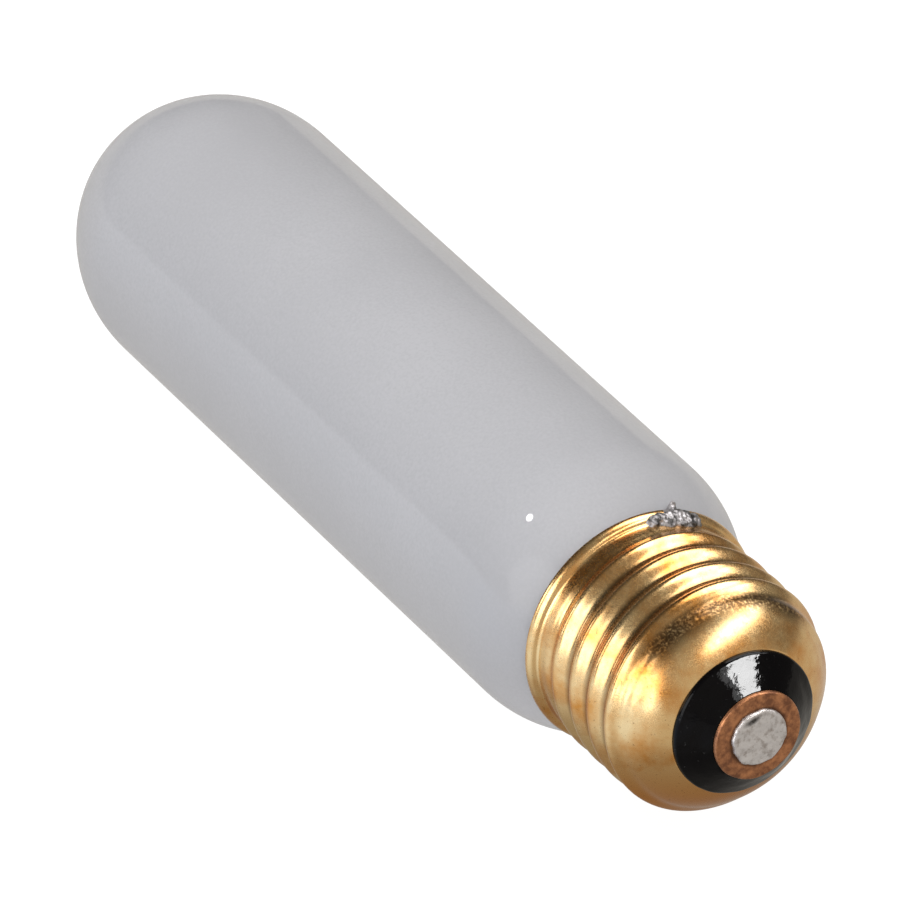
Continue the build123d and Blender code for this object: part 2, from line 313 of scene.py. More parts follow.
def off_axis(tree, place):
    """The place along the bulb's axis, the height, and the distance from the axis."""
    along, across, height = node(tree, "SeparateXYZ", {0: place}).outputs
    across_squared = node(tree, "Math", {0: across, 1: 2.0}, operation="POWER")
    height_squared = node(tree, "Math", {0: height, 1: 2.0}, operation="POWER")
    total = node(tree, "Math", {0: across_squared, 1: height_squared}, operation="ADD")
    radius = node(tree, "Math", {0: total, 1: 0.5}, operation="POWER")
    return along, height, radius


# Soda-lime glass, blown and etched or coated white inside: an even milky body under a clear glossy
# skin. The cloud is the frosting's slow change along the tube, and the frost is its fine grain.
def frosted_glass_material():
    glass = settings().glass
    material, tree, place = new_material("Inside-frosted glass")
    cloud = node(tree, "TexNoise", {"Vector": place, "Scale": per_mm(24), "Detail": 2.0})
    frost = node(tree, "TexNoise", {"Vector": place, "Scale": per_mm(0.35), "Detail": 1.0})
    both = node(tree, "Math", {0: cloud, 1: frost}, operation="MULTIPLY")
    share = node(tree, "MapRange", {VALUE: both, LOW: 0.12, HIGH: 0.4})
    tones = {FACTOR: share, FIRST: rgba(glass.shade), SECOND: rgba(glass.milk)}
    colour = node(tree, "Mix", tones, data_type="RGBA")
    shader = node(
        tree,
        "BsdfPrincipled",
        {
            "Base Color": colour,
            "Roughness": 0.55,
            "IOR": 1.5,
            "Specular IOR Level": 0.2,
            "Subsurface Weight": 0.35,
            "Subsurface Radius": (1.0, 1.0, 1.0),
            "Subsurface Scale": 3.0 * MM,
            "Coat Weight": 0.5,
            "Coat Roughness": 0.02,
            "Coat IOR": 1.5,
        },
    )
    node(tree, "OutputMaterial", {"Surface": shader})
    return material


# Cartridge brass, rolled thin, bright-dipped and lacquered: mirror-like, darker in random patches
# of age and, as painted shade, deeper and darker low on the rounded bottom, with tarnish in the
# grooves and in specks, and with a dull scuffed band below the thread on the top side.
def brass_material():
    shell = settings().shell
    material, tree, place = new_material("Lacquered brass sheet")
    along, height, radius = off_axis(tree, place)
    cloud = node(
        tree, "TexNoise", {"Vector": place, "Scale": per_mm(5.0), "Detail": 5.0, "Roughness": 0.6}
    )
    grit = node(
        tree, "TexNoise", {"Vector": place, "Scale": per_mm(0.3), "Detail": 3.0, "Roughness": 0.7}
    )
    bottom = -shell.straight_depth
    crest = shell.thread_major / 2

    # Painted shade: the underside of the rounded bottom takes the deep brass colour, on top of the
    # random patches of age.
    on_bottom = node(tree, "MapRange", {VALUE: along, LOW: bottom, HIGH: bottom + 0.6 * MM})
    under = node(tree, "MapRange", {VALUE: height, LOW: -1.0 * MM, HIGH: -9.0 * MM})
    underside_painted_shade = node(tree, "Math", {0: under, 1: on_bottom}, operation="MULTIPLY")
    patches = node(tree, "MapRange", {VALUE: cloud, LOW: 0.4, HIGH: 0.72})
    underside_shade_share = node(tree, "Math", {0: underside_painted_shade, 1: 0.95}, operation="MULTIPLY")
    darkened_share = node(tree, "Math", {0: patches, 1: underside_shade_share}, operation="MAXIMUM")
    tones = {FACTOR: darkened_share, FIRST: rgba(shell.bright), SECOND: rgba(shell.deep)}
    body = node(tree, "Mix", tones, data_type="RGBA")

    groove_edge = crest - shell.thread_height * 0.75
    groove_floor = crest - shell.thread_height * 1.02
    groove = node(tree, "MapRange", {VALUE: radius, LOW: groove_edge, HIGH: groove_floor})
    on_straight = node(tree, "MapRange", {VALUE: along, LOW: bottom, HIGH: bottom - 0.6 * MM})
    in_grooves = node(tree, "Math", {0: groove, 1: on_straight}, operation="MULTIPLY")
    specks = node(tree, "MapRange", {VALUE: grit, LOW: 0.62, HIGH: 0.72})
    either = node(tree, "Math", {0: in_grooves, 1: specks}, operation="MAXIMUM")
    dark = node(tree, "Math", {0: either, 1: 0.55}, operation="MULTIPLY")
    tones = {FACTOR: dark, FIRST: body, SECOND: rgba(shell.tarnish)}
    stained = node(tree, "Mix", tones, data_type="RGBA")

    band_back = node(
        tree, "MapRange", {VALUE: along, LOW: bottom + 0.2 * MM, HIGH: bottom + 1.0 * MM}
    )
    band_front = node(
        tree, "MapRange", {VALUE: along, LOW: bottom + 3.4 * MM, HIGH: bottom + 2.2 * MM}
    )
    band = node(tree, "Math", {0: band_back, 1: band_front}, operation="MULTIPLY")
    on_top = node(tree, "MapRange", {VALUE: height, LOW: 6.5 * MM, HIGH: 9.0 * MM})
    rubbed = node(tree, "Math", {0: band, 1: on_top}, operation="MULTIPLY")
    marks = node(tree, "MapRange", {VALUE: grit, LOW: 0.22, HIGH: 0.52})
    scuffs = node(tree, "Math", {0: rubbed, 1: marks}, operation="MULTIPLY")
    scuff_share = node(tree, "Math", {0: scuffs, 1: 0.9}, operation="MULTIPLY")
    tones = {FACTOR: scuff_share, FIRST: stained, SECOND: rgba(shell.tarnish, 0.3)}
    colour = node(tree, "Mix", tones, data_type="RGBA")

    worn = node(tree, "MapRange", {VALUE: grit, LOW: 0.3, HIGH: 0.75, TO_LOW: 0.19, TO_HIGH: 0.33})
    dull = node(tree, "Math", {0: rubbed, 1: 0.36}, operation="MULTIPLY")
    rough = node(tree, "Math", {0: worn, 1: dull}, operation="MAXIMUM")
    ripple = node(tree, "TexNoise", {"Vector": place, "Scale": per_mm(1.6), "Detail": 3.0})
    bump = node(tree, "Bump", {"Height": ripple, "Strength": 0.1, "Distance": 0.06 * MM})
    shader = node(
        tree,
        "BsdfPrincipled",
        {
            "Base Color": colour,
            "Metallic": 1.0,
            "Roughness": rough,
            "Normal": bump,
            "Coat Weight": 0.1,
            "Coat Roughness": 0.1,
        },
    )
    node(tree, "OutputMaterial", {"Surface": shader})
    return material


# Lead glass coloured black and pressed hot into the shell: a deep wet gloss, slightly uneven, with
# dusty pits.
def black_glass_material():
    part = settings().contact
    material, tree, place = new_material("Pressed black glass")
    grit = node(
        tree, "TexNoise", {"Vector": place, "Scale": per_mm(0.5), "Detail": 4.0, "Roughness": 0.65}
    )
    pits = node(tree, "MapRange", {VALUE: grit, LOW: 0.66, HIGH: 0.74})
    tones = {FACTOR: pits, FIRST: rgba(part.black), SECOND: rgba(part.dust)}
    colour = node(tree, "Mix", tones, data_type="RGBA")
    rough = node(tree, "MapRange", {VALUE: grit, LOW: 0.4, HIGH: 0.75, TO_LOW: 0.03, TO_HIGH: 0.12})
    ripple = node(tree, "TexNoise", {"Vector": place, "Scale": per_mm(0.7), "Detail": 3.0})
    bump = node(tree, "Bump", {"Height": ripple, "Strength": 0.6, "Distance": 0.05 * MM})
    shader = node(
        tree,
        "BsdfPrincipled",
        {
            "Base Color": colour,
            "Roughness": rough,
            "IOR": 1.62,
            "Specular IOR Level": 0.07,
            "Normal": bump,
        },
    )
    node(tree, "OutputMaterial", {"Surface": shader})
    return material


# Copper, stamped and heated by the soldering: satin brown with orange where it is rubbed, and burnt
# in a dark seam around the solder.
def copper_material():
    part = settings().contact
    material, tree, place = new_material("Oxidised copper")
    cloud = node(
        tree, "TexNoise", {"Vector": place, "Scale": per_mm(1.1), "Detail": 5.0, "Roughness": 0.65}
    )
    darkened_share = node(tree, "MapRange", {VALUE: cloud, LOW: 0.38, HIGH: 0.62})
    tones = {FACTOR: darkened_share, FIRST: rgba(part.copper), SECOND: rgba(part.oxide)}
    tone = node(tree, "Mix", tones, data_type="RGBA")
    _, _, radius = off_axis(tree, place)
    edge = part.solder_diameter / 2
    seam = node(
        tree,
        "MapRange",
        {VALUE: radius, LOW: edge + 0.4 * MM, HIGH: edge + 0.1 * MM, TO_HIGH: 0.75},
    )
    tones = {FACTOR: seam, FIRST: tone, SECOND: rgba(part.oxide, 0.2)}
    colour = node(tree, "Mix", tones, data_type="RGBA")
    bump = node(tree, "Bump", {"Height": cloud, "Strength": 0.3, "Distance": 0.04 * MM})
    rough = node(tree, "MapRange", {VALUE: cloud, TO_LOW: 0.3, TO_HIGH: 0.55})
    shader = node(
        tree,
        "BsdfPrincipled",
        {"Base Color": colour, "Metallic": 0.8, "Roughness": rough, "Normal": bump},
    )
    node(tree, "OutputMaterial", {"Surface": shader})
    return material


# Tin-lead solder, dipped and cooled: dull grey with a fine frosty grain, dark patches of dross and
# one small smear of burnt flux.
def solder_material(name, pale, dark, dark_from, dark_to, smear_at):
    material, tree, place = new_material(name)
    cloud = node(
        tree, "TexNoise", {"Vector": place, "Scale": per_mm(0.8), "Detail": 5.0, "Roughness": 0.65}
    )
    patch = node(tree, "MapRange", {VALUE: cloud, LOW: dark_from, HIGH: dark_to})
    tones = {FACTOR: patch, FIRST: rgba(pale), SECOND: rgba(dark)}
    tone = node(tree, "Mix", tones, data_type="RGBA")
    oval = node(
        tree,
        "Mapping",
        {
            "Vector": place,
            "Location": smear_at,
            "Rotation": (math.radians(21), 0.0, 0.0),
            "Scale": (1.6 * MM, 1.15 * MM, 0.42 * MM),
        },
        vector_type="TEXTURE",
    )
    reach = node(tree, "VectorMath", {0: oval}, operation="LENGTH")
    inside = node(tree, "MapRange", {VALUE: reach, LOW: 1.1, HIGH: 0.4})
    uneven = node(
        tree, "MapRange", {VALUE: cloud, LOW: 0.25, HIGH: 0.5, TO_LOW: 0.45, TO_HIGH: 0.95}
    )
    smear = node(tree, "Math", {0: inside, 1: uneven}, operation="MULTIPLY")
    tones = {FACTOR: smear, FIRST: tone, SECOND: rgba(dark, 0.12)}
    colour = node(tree, "Mix", tones, data_type="RGBA")
    grain = node(tree, "TexNoise", {"Vector": place, "Scale": per_mm(0.25), "Detail": 3.0})
    rough = node(tree, "MapRange", {VALUE: grain, TO_LOW: 0.3, TO_HIGH: 0.6})
    bump = node(tree, "Bump", {"Height": grain, "Strength": 0.4, "Distance": 0.05 * MM})
    shader = node(
        tree,
        "BsdfPrincipled",
        {"Base Color": colour, "Metallic": 0.8, "Roughness": rough, "Normal": bump},
    )
    node(tree, "OutputMaterial", {"Surface": shader})
    return material


# Basing cement, a baked mix of stone flour and resin: chalky, dull and gritty.
def cement_material():
    part = settings().contact
    material, tree, place = new_material("Baked basing cement")
    grit = node(tree, "TexNoise", {"Vector": place, "Scale": per_mm(0.4), "Detail": 4.0})
    tones = {FACTOR: grit, FIRST: rgba(part.cement, 0.55), SECOND: rgba(part.cement)}
    colour = node(tree, "Mix", tones, data_type="RGBA")
    bump = node(tree, "Bump", {"Height": grit, "Strength": 0.5, "Distance": 0.1 * MM})
    shader = node(tree, "BsdfPrincipled", {"Base Color": colour, "Roughness": 0.9, "Normal": bump})
    node(tree, "OutputMaterial", {"Surface": shader})
    return material


# Copper-clad nickel wire, drawn: a dull reddish metal, unevenly darkened.
def lead_wire_material():
    part = settings().contact
    material, tree, place = new_material("Copper-clad lead wire")
    cloud = node(tree, "TexNoise", {"Vector": place, "Scale": per_mm(0.6), "Detail": 3.0})
    tones = {FACTOR: cloud, FIRST: rgba(part.wire, 0.5), SECOND: rgba(part.wire)}
    colour = node(tree, "Mix", tones, data_type="RGBA")
    rough = node(tree, "MapRange", {VALUE: cloud, TO_LOW: 0.25, TO_HIGH: 0.5})
    shader = node(
        tree, "BsdfPrincipled", {"Base Color": colour, "Metallic": 1.0, "Roughness": rough}
    )
    node(tree, "OutputMaterial", {"Surface": shader})
    return material


def rim_radius(shell):
    """Radius over the shell's rim."""
    return shell.thread_major / 2 + shell.rim_proud


def thread_mean(shell):
    """Radius midway between the thread's crests and grooves."""
    return (shell.thread_major - shell.thread_height) / 2


class LIGHTBULB_OT_glass(bpy.types.Operator):
    """Blow the frosted glass, from its exhaust tip to its crown"""

    bl_idname = "light_bulb.glass"
    bl_label = "Frosted glass"

    # Steps around the bulb's axis
    AROUND = 160

    def execute(self, context):
        glass, shell = settings().glass, settings().shell
        tube = glass.tube_diameter / 2
        neck = shell.thread_major / 2 - shell.thread_height - shell.wall - glass.neck_gap
        tip = glass.exhaust_diameter / 2
        seal = shell.rim_depth - glass.neck_length
        front = seal - glass.exhaust_length
        drop = tube - (rim_radius(shell) - shell.wall - glass.rim_gap)
        shoulder = (glass.shoulder_run**2 + drop**2) / (2 * drop)
        both = glass.neck_flare + shoulder
        lean = math.acos(1 - (tube - neck) / both)
        shoulder_end = shell.rim_depth + glass.shoulder_run
        neck_end = shoulder_end - both * math.sin(lean)
        crown = glass.overall_length - glass.crown_height

        bm = bmesh.new()
        line = Profile(bm, front, 0.0)
        line.arc(front + tip, 0.0, -QUARTER, steps=8)
        line.line(seal, tip)
        line.line(seal, neck - glass.seal_edge)
        line.arc(seal + glass.seal_edge, neck - glass.seal_edge, -QUARTER, steps=6)
        line.line(neck_end, neck)
        line.arc(neck_end, neck + glass.neck_flare, lean, steps=8)
        line.arc(shoulder_end, tube - shoulder, -lean, steps=24)
        line.line(crown, tube, steps=24)
        dome = line.arc(crown, 0.0, -QUARTER, steps=40)
        stretch = Matrix.Diagonal((glass.crown_height / tube, 1.0, 1.0, 1.0))
        bmesh.ops.transform(bm, matrix=stretch, space=Matrix.Translation(AXIS * crown), verts=dome)
        line.turned(self.AROUND)
        finished(bm, "frosted_bulb", frosted_glass_material(), "glass_envelope")
        return {"FINISHED"}


# Rings in each stretch of the shell, from its lip to its rim. The thread's are those in one pitch.
DISH_RINGS, CORNER_RINGS, PITCH_RINGS, FLARE_RINGS, BEAD_RINGS = 30, 10, 28, 14, 8


def half_section(shell, inset):
    """Depths and mean radii of the shell's rings from its lip to its rim, inset from the skin."""
    mean = thread_mean(shell)
    collar = shell.rim_depth - shell.collar_length
    sine, cosine = math.sin(shell.corner_turn), math.cos(shell.corner_turn)
    run = shell.straight_depth - shell.lip_depth - shell.corner_radius * sine
    fall = mean - shell.lip_diameter / 2 - shell.corner_radius * (1 - cosine)
    dish_turn = 2 * (math.atan2(fall, run) - shell.corner_turn)
    dish = math.hypot(run, fall) / (2 * math.sin(dish_turn / 2))
    corner_middle = (shell.straight_depth, mean - shell.corner_radius)
    dish_middle = (
        corner_middle[0] + (dish - shell.corner_radius) * sine,
        corner_middle[1] - (dish - shell.corner_radius) * cosine,
    )
    rise = rim_radius(shell) - mean
    flare_run = shell.collar_length - shell.rim_edge
    lean = 2 * math.atan(rise / flare_run)
    flare = (flare_run**2 + rise**2) / (2 * rise) - shell.rim_bead
    bead_middle = (shell.rim_depth - shell.rim_edge, rim_radius(shell) - shell.rim_bead)

    def on_arc(middle, radius, angle):
        return middle[0] - radius * math.sin(angle), middle[1] + radius * math.cos(angle)

    for i in range(DISH_RINGS):
        angle = shell.corner_turn + dish_turn * (1 - i / DISH_RINGS)
        yield on_arc(dish_middle, dish - inset, angle)
    for i in range(CORNER_RINGS):
        angle = shell.corner_turn * (1 - i / CORNER_RINGS)
        yield on_arc(corner_middle, shell.corner_radius - inset, angle)
    length = collar - shell.straight_depth
    steps = round(length / shell.thread_pitch * PITCH_RINGS)
    for i in range(steps):
        yield shell.straight_depth + length * i / steps, mean - inset
    for i in range(FLARE_RINGS):
        yield on_arc((collar, mean + flare), -flare - inset, lean * i / FLARE_RINGS)
    for i in range(BEAD_RINGS + 1):
        yield on_arc(bead_middle, shell.rim_bead - inset, lean * (1 - i / BEAD_RINGS))
    yield shell.rim_depth, rim_radius(shell) - inset


def shell_rings(shell, inset):
    """Every ring of the shell as a centre and a radius. A single round thread is made of rings that
    stand off the axis by half its height and go once around it in each pitch, and it fades at both
    ends."""
    start = shell.straight_depth - shell.thread_onto_bottom
    end = shell.rim_depth - shell.collar_length - shell.plain_length
    for depth, radius in half_section(shell, inset):
        reach = min(depth - start, end - depth) / shell.thread_run_out
        offset = shell.thread_height / 4 * (1 - math.cos(math.pi * min(max(reach, 0.0), 1.0)))
        around = FULL_TURN * (depth - shell.crest_at_top) / shell.thread_pitch
        yield Vector((-depth, offset * math.sin(around), offset * math.cos(around))), radius


def carried(bm, edges, was, now):
    """Extrudes a ring of edges from one centre and radius to another, and returns the new ring."""
    made = bmesh.ops.extrude_edge_only(bm, edges=edges)["geom"]
    verts = {g for g in made if isinstance(g, bmesh.types.BMVert)}
    (old_centre, old_radius), (centre, radius) = was, now
    grow = Matrix.Scale(radius / old_radius, 4)
    move = Matrix.Translation(centre) @ grow @ Matrix.Translation(-old_centre)
    bmesh.ops.transform(bm, matrix=move, verts=list(verts))
    return [g for g in made if isinstance(g, bmesh.types.BMEdge) and verts.issuperset(g.verts)]


class LIGHTBULB_OT_shell(bpy.types.Operator):
    """Roll the brass screw shell with its lip, thread, collar and rim"""

    bl_idname = "light_bulb.shell"
    bl_label = "Brass screw shell"

    # Steps around the bulb's axis
    AROUND = 176

    # The sheet's cut edges turn by more than this
    CUT_TURN = math.radians(50)

    def execute(self, context):
        shell = settings().shell
        rings = [*shell_rings(shell, 0.0), *reversed(list(shell_rings(shell, shell.wall)))]
        bm = bmesh.new()
        centre, radius = rings[0]
        stand = Matrix.Translation(centre) @ Matrix.Rotation(QUARTER, 4, "Y")
        bmesh.ops.create_circle(bm, segments=self.AROUND, radius=radius, matrix=stand)
        first = bm.edges[:]
        ring = first
        for was, now in zip(rings, rings[1:]):
            ring = carried(bm, ring, was, now)
        bmesh.ops.bridge_loops(bm, edges=first + ring)
        bmesh.ops.remove_doubles(bm, verts=bm.verts, dist=MERGE)
        bmesh.ops.recalc_face_normals(bm, faces=bm.faces)
        cut = [e for e in bm.edges if e.calc_face_angle(0.0) > self.CUT_TURN]
        bmesh.ops.bevel(
            bm,
            geom=cut,
            offset=shell.edge_break,
            segments=2,
            profile=0.5,
            affect="EDGES",
            material=-1,
        )
        finished(bm, "brass_shell", brass_material(), "screw_shell")
        return {"FINISHED"}


class LIGHTBULB_OT_insulator(bpy.types.Operator):
    """Press the black glass insulator into the shell's bottom"""

    bl_idname = "light_bulb.insulator"
    bl_label = "Black glass insulator"

    # Steps around the bulb's axis
    AROUND = 144

    # How far the flange starts behind the lip, in sheet thicknesses, and its slope as it widens
    FLANGE_BEHIND = 1.2
    FLANGE_SLOPE = 0.72

    def execute(self, context):
        part, shell = settings().contact, settings().shell
        bore = part.barrel_diameter / 2
        front = part.eyelet_face + part.eyelet_thickness
        land = part.eyelet_diameter / 2 + part.insulator_land
        lip = shell.lip_diameter / 2
        corner = shell.lip_depth - part.insulator_step
        lean = math.atan2(lip - land, corner - front)
        tangent = part.insulator_edge * math.tan(lean / 2)
        flange = part.flange_diameter / 2
        behind = shell.lip_depth + self.FLANGE_BEHIND * shell.wall

        bm = bmesh.new()
        line = Profile(bm, part.insulator_back, bore)
        line.line(front, bore)
        line.line(front, land)
        line.line(corner - tangent * math.cos(lean), lip - tangent * math.sin(lean), steps=16)
        line.arc(corner + tangent, lip - part.insulator_edge, -lean, steps=8)
        line.line(behind, lip)
        line.line(behind + (flange - lip) * self.FLANGE_SLOPE, flange)
        line.line(part.insulator_back, flange)
        line.close()
        line.turned(self.AROUND)
        ahead = [v for v in bm.verts if -v.co.x < shell.lip_depth]
        shown = [v for v in ahead if land < math.hypot(v.co.y, v.co.z) <= lip]
        roughen(bm, shown, part.insulator_ripple, grain=1.7 * MM)
        finished(bm, "black_cone", black_glass_material(), "base_insulator")
        return {"FINISHED"}


class LIGHTBULB_OT_eyelet(bpy.types.Operator):
    """Stamp the copper eyelet that carries the centre contact"""

    bl_idname = "light_bulb.eyelet"
    bl_label = "Copper eyelet"

    # Steps around the bulb's axis
    AROUND = 112

    def execute(self, context):
        part = settings().contact
        head, bore = part.eyelet_diameter / 2, part.barrel_diameter / 2
        back = part.eyelet_face + part.eyelet_thickness
        end = back + part.barrel_length
        bm = bmesh.new()
        line = Profile(bm, end, bore - part.barrel_wall)
        line.line(part.eyelet_face, bore - part.barrel_wall)
        line.line(part.eyelet_face, head - part.eyelet_edge, steps=12)
        line.arc(part.eyelet_face + part.eyelet_edge, head - part.eyelet_edge, -QUARTER, steps=6)
        line.line(back, head)
        line.line(back, bore)
        line.line(end, bore)
        line.close()
        line.turned(self.AROUND)
        ahead = [v for v in bm.verts if -v.co.x < back - MERGE]
        face = [v for v in ahead if math.hypot(v.co.y, v.co.z) > bore]
        roughen(bm, face, depth=0.05 * MM, grain=1.4 * MM)
        finished(bm, "copper_eyelet", copper_material(), "contact_eyelet")
        return {"FINISHED"}


class LIGHTBULB_OT_solder(bpy.types.Operator):
    """Drop the solder button on the eyelet and the solder lump on the rim"""

    bl_idname = "light_bulb.solder"
    bl_label = "Solder"

    # Steps around the bulb's axis in the button
    AROUND = 112

    # How far the button sinks into the eyelet's face
    BED = 0.06 * MM

    # The button's uneven edge: where it starts, as a share of the radius, how much it swells, and
    # how often
    EDGE_FROM = 0.75
    EDGE_SWELL = 0.045
    EDGE_WAVES = 3.0

    # Lumps on the rim: along the rim, forward of the rim's edge, and radius, in millimetres
    LUMPS = (
        (-2.9, 1.0, 1.0),
        (-1.9, 0.9, 1.15),
        (-1.2, 1.5, 0.9),
        (-0.8, 0.8, 1.25),
        (0.2, 1.6, 0.9),
        (0.3, 0.8, 1.3),
        (1.2, 0.8, 1.2),
        (1.3, 1.5, 0.9),
        (2.2, 0.9, 1.1),
    )

    # How far the middles of the lumps lie below the rim's skin, in millimetres
    SINK = 1.0

    # Solder drawn up around the end of the side lead: behind the rim's edge, above the rim, and
    # radius, in millimetres
    PEAK = ((0.2, -0.2, 0.6), (0.3, 0.25, 0.42), (0.32, 0.5, 0.3))

    # How finely the lumps are run together, and how many times they are smoothed after it
    VOXEL = 0.07 * MM
    SMOOTHINGS = 8

    # Middles of the dark smears of burnt flux, in the bulb's own frame
    BUTTON_SMEAR = Vector((0.0, -0.95, 2.3)) * MM
    LUMP_SMEAR = Vector((-23.6, 5.5, 12.4)) * MM

    # Solder has soft edges, so only turns of more than this many degrees are drawn sharp
    SHARP = 60

    def button(self):
        part = settings().contact
        radius = part.solder_diameter / 2
        plug = part.barrel_diameter / 2 - part.barrel_wall
        bed = part.eyelet_face + self.BED
        end = part.eyelet_face + part.plug_length
        bm = bmesh.new()
        line = Profile(bm, 0.0, 0.0)
        line.line(0.0, radius - part.solder_edge, steps=24)
        line.arc(part.solder_edge, radius - part.solder_edge, -QUARTER, steps=6)
        line.line(bed, radius)
        line.line(bed, plug)
        line.line(end, plug)
        line.line(end, 0.0)
        line.turned(self.AROUND)
        for vert in bm.verts:
            reach = math.hypot(vert.co.y, vert.co.z) / radius
            if reach > self.EDGE_FROM:
                around = Vector((0.0, vert.co.y, vert.co.z)).normalized() * self.EDGE_WAVES
                wave = noise.noise(around) * (reach - self.EDGE_FROM) / (1 - self.EDGE_FROM)
                swell = 1.0 + self.EDGE_SWELL * wave
                vert.co.y *= swell
                vert.co.z *= swell
        shown = [v for v in bm.verts if -v.co.x < part.eyelet_face]
        roughen(bm, shown, part.solder_ripple, grain=1.1 * MM, seed=7.0)
        roughen(bm, shown, part.solder_ripple * 0.4, grain=0.4 * MM, seed=3.0)
        material = solder_material(
            "Dull tin-lead solder", part.solder, part.dross, 0.48, 0.8, self.BUTTON_SMEAR
        )
        finished(bm, "solder_button", material, "tip_solder", self.SHARP)

    def lump(self):
        part, shell = settings().contact, settings().shell
        rim = rim_radius(shell)
        drops = [(along, forward, -self.SINK, radius) for along, forward, radius in self.LUMPS]
        drops += [(0.0, -behind, above, radius) for behind, above, radius in self.PEAK]
        bm = bmesh.new()
        for along, forward, above, radius in drops:
            around = part.lump_angle + along * MM / rim
            height = rim + above * MM
            depth = shell.rim_depth - forward * MM
            middle = (-depth, height * math.sin(around), height * math.cos(around))
            place = Matrix.Translation(middle)
            bmesh.ops.create_icosphere(bm, subdivisions=4, radius=radius * MM, matrix=place)
        rough = bpy.data.meshes.new("lumps")
        bm.to_mesh(rough)
        bm.free()
        holder = bpy.data.objects.new("lumps", rough)
        bpy.context.scene.collection.objects.link(holder)
        fuse = holder.modifiers.new("Run together", "REMESH")
        fuse.mode = "VOXEL"
        fuse.voxel_size = self.VOXEL
        graph = bpy.context.evaluated_depsgraph_get()
        fused = bpy.data.meshes.new_from_object(holder.evaluated_get(graph))
        bm = bmesh.new()
        bm.from_mesh(fused)
        bpy.data.objects.remove(holder)
        bpy.data.meshes.remove(rough)
        bpy.data.meshes.remove(fused)
        for _ in range(self.SMOOTHINGS):
            bmesh.ops.smooth_vert(
                bm, verts=bm.verts, factor=0.5, use_axis_x=True, use_axis_y=True, use_axis_z=True
            )
        roughen(bm, bm.verts[:], part.lump_ripple, grain=0.9 * MM, seed=2.0)
        roughen(bm, bm.verts[:], part.lump_ripple, grain=0.4 * MM, seed=5.0)
        material = solder_material(
            "Cratered tin-lead solder", part.lump_pale, part.lump_dark, 0.4, 0.6, self.LUMP_SMEAR
        )
        finished(bm, "solder_lump", material, "side_solder", self.SHARP)

    def execute(self, context):
        self.button()
        self.lump()
        return {"FINISHED"}


class LIGHTBULB_OT_inside(bpy.types.Operator):
    """Finish the cement ring and the lead wires, whose shapes are right as they are"""

    bl_idname = "light_bulb.inside"
    bl_label = "Cement and lead wires"

    def execute(self, context):
        wire = lead_wire_material()
        finishes = {"basing_cement": cement_material(), "centre_lead": wire, "side_lead": wire}
        for name, material in finishes.items():
            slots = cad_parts[name].data.materials
            slots.clear()
            slots.append(material)
        return {"FINISHED"}


